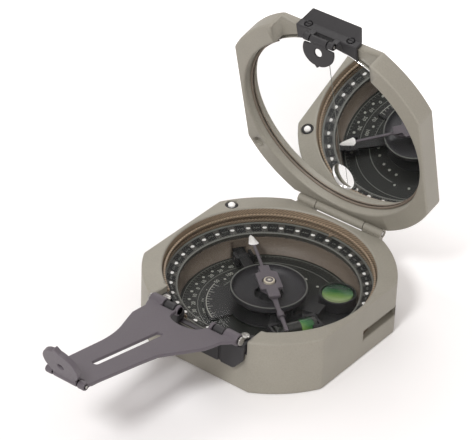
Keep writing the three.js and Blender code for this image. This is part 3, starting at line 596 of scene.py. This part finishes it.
def bearing_circle_marks():
    body = BODY_OF["azimuth_ring"]
    lines = bmesh.new()
    for inner, outer in ((28.98, 29.4), (32.7, 33.22)):
        add_arc(lines, inner * MM, outer * MM, 0, 360, ring_height, 3)
    from_bmesh("ring_edge_lines", lines, PAINT["grey_mark"], body, 60)

    dots = bmesh.new()
    patches = bmesh.new()
    ticks = bmesh.new()
    numbers = bmesh.new()
    for bearing in range(0, 360, 10):
        reach = 31.2 * MM
        add_dot(dots, polar(reach, bearing, ring_height(reach) + INK), 0.74 * MM)
        add_arc(patches, 29.75 * MM, 32.5 * MM, bearing + 1.9, bearing + 8.1, ring_height, 2.8)
        place = facing_out(reach, bearing + 5, ring_height(reach) + 2.2 * INK)
        add_text(numbers, str((90 - bearing) % 360), 1.5 * MM, place)
    for bearing in range(0, 360, 2):
        start = 29.3 * MM
        end = start + (0.75 if bearing % 10 == 0 else 0.45) * MM
        add_arc(ticks, start, end, bearing - 0.13, bearing + 0.13, ring_height, 1)
    from_bmesh("ring_dots", dots, PAINT["white_paint"], body, 60)
    from_bmesh("ring_patches", patches, PAINT["ink_black"], body, 60)
    from_bmesh("ring_ticks", ticks, PAINT["grey_mark"], body, 60)
    from_bmesh("ring_numbers", numbers, PAINT["grey_mark"], body, 60)


def dial_marks():
    body = BODY_OF["dial_plate"]
    lines = bmesh.new()
    dots = bmesh.new()
    numbers = bmesh.new()
    for reach, start, end in ((27.2, 60, 250), (22.3, 150, 250), (17.2, 150, 262), (23.6, 62, 140)):
        add_arc(lines, reach * MM, (reach + 0.22) * MM, start, end, dial_height)
    for bearing in range(60, 256, 3):
        add_arc(lines, 26.3 * MM, 27.2 * MM, bearing - 0.14, bearing + 0.14, dial_height, 1)
    for bearing in range(152, 262, 4):
        add_arc(lines, 17.2 * MM, 18.0 * MM, bearing - 0.2, bearing + 0.2, dial_height, 1)
    for count, bearing in enumerate(range(153, 255, 10)):
        add_dot(dots, polar(25.2 * MM, bearing, DIAL_Z), 0.5 * MM)
        place = facing_out(23.7 * MM, bearing + 5, DIAL_Z + INK)
        add_text(numbers, str(abs(count - 4) * 10), 1.9 * MM, place)
    for bearing in (173, 189, 205, 221, 72, 56, 88):
        add_dot(dots, polar(19.4 * MM, bearing, DIAL_Z), 0.45 * MM)
    for bearing in (94, 106, 118, 133, 145):
        add_dot(dots, polar(15.6 * MM, bearing, DIAL_Z), 0.5 * MM)
    add_arc(lines, 18.6 * MM, 18.95 * MM, 92, 152, dial_height)
    for count, bearing in enumerate((165, 181, 197, 213, 229)):
        add_text(numbers, str(abs(count - 2) * 50), 1.9 * MM, facing_out(20.4 * MM, bearing, DIAL_Z + INK))
    from_bmesh("dial_lines", lines, PAINT["grey_mark"], body, 60)
    from_bmesh("dial_dots", dots, PAINT["mark_paint"], body, 60)
    from_bmesh("dial_numbers", numbers, PAINT["mark_paint"], body, 60)


def vernier_marks():
    body = BODY_OF["vernier_carrier"]
    lines = bmesh.new()
    add_arc(lines, 19.6 * MM, 19.85 * MM, 188, 244, carrier_height)
    for count, bearing in enumerate(range(190, 244, 4)):
        start = (17.8 if count % 3 == 0 else 18.7) * MM
        add_arc(lines, start, 19.7 * MM, bearing - 0.25, bearing + 0.25, carrier_height, 1)
    from_bmesh("vernier_lines", lines, PAINT["mark_paint"], body, 60)


bearing_circle_marks()
dial_marks()
vernier_marks()


# ---- cup rim, needle head, sighting line --------------------------------------------------------

def turned_ring(name, profile, paint, body, sides=96):
    """A ring turned from a closed profile of (radius, z) in millimetres."""
    shape = bmesh.new()
    loops = []
    for side in range(sides):
        angle = 360 * side / sides
        loops.append([shape.verts.new(polar(radius * MM, angle, z * MM)) for radius, z in profile])
    for side in range(sides):
        here, after = loops[side], loops[(side + 1) % sides]
        for index in range(len(profile)):
            following = (index + 1) % len(profile)
            shape.faces.new((here[index], after[index], after[following], here[following]))
    from_bmesh(name, shape, paint, body)


def cup_rim():
    """The cup's rolled edge, painted a lighter grey than the cup as a painted highlight: the thin bright circle
    where the edge catches the light.
    """
    middle, z, thick = 12.1, 12.1, 0.22
    turns = [2 * math.pi * index / 8 for index in range(8)]
    profile = [(middle + thick * math.cos(turn), z + thick * math.sin(turn)) for turn in turns]
    turned_ring("cup_rim_painted_highlight", profile, PAINT["grey_mark"], BODY_OF["damping_cup"])


def needle_head():
    """The white arrow head on the needle's north end, ridged along its middle."""
    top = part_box("needle")[1].z
    turn = Matrix.Rotation(math.radians(NEEDLE_HEADING), 4, "Z")
    shape = bmesh.new()
    outline = [(0, 27.7), (-0.75, 26.4), (-1.7, 22.6), (-0.9, 21.9), (0.9, 21.9), (1.7, 22.6), (0.75, 26.4)]
    ridge = [(x * 0.35, 24 + (y - 24) * 0.7) for x, y in outline]
    edge = [shape.verts.new(turn @ Vector((x * MM, y * MM, top))) for x, y in outline]
    crest = [shape.verts.new(turn @ Vector((x * MM, y * MM, top + 0.4 * MM))) for x, y in ridge]
    shape.faces.new(crest)
    shape.faces.new(edge[::-1])
    for index in range(len(outline)):
        after = (index + 1) % len(outline)
        shape.faces.new((edge[index], edge[after], crest[after], crest[index]))
    from_bmesh("needle_arrow_head", shape, PAINT["white_paint"], BODY_OF["needle"], 20)


def sighting_line():
    """The thin line down the middle of the mirror and the window."""
    shape = bmesh.new()
    place = closed_lid()
    half = 0.09 * MM
    for start, end, depth in ((-33, 18.2, 3.44), (18.6, 28.2, 5.36)):
        corners = [(-half, start * MM), (half, start * MM), (half, end * MM), (-half, end * MM)]
        low = [shape.verts.new(place @ Vector((x, y, depth * MM))) for x, y in corners]
        high = [shape.verts.new(place @ Vector((x, y, (depth - 0.04) * MM))) for x, y in corners]
        shape.faces.new(high)
        shape.faces.new(low[::-1])
        for index in range(4):
            after = (index + 1) % 4
            shape.faces.new((low[index], low[after], high[after], high[index]))
    from_bmesh("mirror_sighting_line", shape, PAINT["grey_mark"], BODY_OF["mirror"])


def jewel_rings():
    """The dark ring around the jewel and the pale ring at its middle."""
    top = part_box("jewel_cap")[1].z / MM
    body = BODY_OF["jewel_cap"]
    turned_ring("jewel_dark_ring", [(0.75, top), (1.25, top), (1.25, top + 0.05), (0.75, top + 0.05)],
                PAINT["needle_paint"], body, 40)
    turned_ring("jewel_middle", [(0.05, top), (0.35, top), (0.3, top + 0.12), (0.05, top + 0.14)],
                PAINT["white_paint"], body, 24)


cup_rim()
jewel_rings()
needle_head()
sighting_line()


# ---- floor, light and camera --------------------------------------------------------------------

def floor_material():
    """A pale floor that glows behind the lid, so that the background stays white."""
    nodes = Nodes("floor")
    cloud = nodes.noise(60 * MM, 2)
    tint = nodes.ramp(cloud, (0.3, linear(248, 247, 247)), (0.7, linear(251, 250, 250)))
    nodes.join(tint, nodes.shader.inputs["Base Color"])
    nodes.join(nodes.span(cloud, 0.7, 0.8), nodes.shader.inputs["Roughness"])
    _, north, _ = nodes.axes()
    nodes.shader.inputs["Emission Color"].default_value = (1, 1, 1, 1)
    nodes.join(nodes.span(north, 0.0, 0.3, (45 * MM, 80 * MM)), nodes.shader.inputs["Emission Strength"])
    return nodes.material


def studio_floor():
    shape = bmesh.new()
    bmesh.ops.create_grid(shape, x_segments=4, y_segments=4, size=3.0)
    mesh = bpy.data.meshes.new("studio_floor")
    shape.to_mesh(mesh)
    shape.free()
    mesh.materials.append(floor_material())
    floor = bpy.data.objects.new("studio_floor", mesh)
    bpy.context.scene.collection.objects.link(floor)


def area_light(name, place, size, power):
    """A round soft light that faces the compass."""
    lamp = bpy.data.lights.new(name, "AREA")
    lamp.shape = "DISK"
    lamp.size = size
    lamp.energy = power
    light = bpy.data.objects.new(name, lamp)
    light.location = place
    light.rotation_euler = Vector(place).to_track_quat("Z", "Y").to_euler()
    bpy.context.scene.collection.objects.link(light)


def sky(strength):
    world = bpy.data.worlds.new("studio")
    world.use_nodes = True
    background = world.node_tree.nodes["Background"]
    background.inputs["Color"].default_value = (1, 0.95, 0.93, 1)
    background.inputs["Strength"].default_value = strength
    bpy.context.scene.world = world


def camera():
    """The photograph's view: from the south-east and 34 degrees up."""
    azimuth, elevation, roll = math.radians(36.59), math.radians(34.1), math.radians(2.31)
    distance = 826.34 * MM
    target = Vector((-16.45, 3.78, 28.11)) * MM
    back = Vector((math.sin(azimuth) * math.cos(elevation), -math.cos(azimuth) * math.cos(elevation),
                   math.sin(elevation)))
    right = UP.cross(back).normalized()
    up = back.cross(right)
    rolled_right = math.cos(roll) * right + math.sin(roll) * up
    rolled_up = math.cos(roll) * up - math.sin(roll) * right
    data = bpy.data.cameras.new("photo_camera")
    data.sensor_width = 36
    data.lens = 197.9
    data.clip_start = 0.05
    data.clip_end = 20
    view = bpy.data.objects.new("photo_camera", data)
    axes = Matrix((rolled_right, rolled_up, back)).transposed().to_4x4()
    view.matrix_world = Matrix.Translation(target + back * distance) @ axes
    bpy.context.scene.collection.objects.link(view)
    bpy.context.scene.camera = view


studio_floor()
sky(strength=0.72)
area_light("key", place=(0.15, -0.94, 1.1), size=0.3, power=9.5)
area_light("back", place=(-0.5, 0.75, 1.1), size=0.7, power=3.0)
camera()
bpy.context.scene.view_settings.view_transform = "Standard"
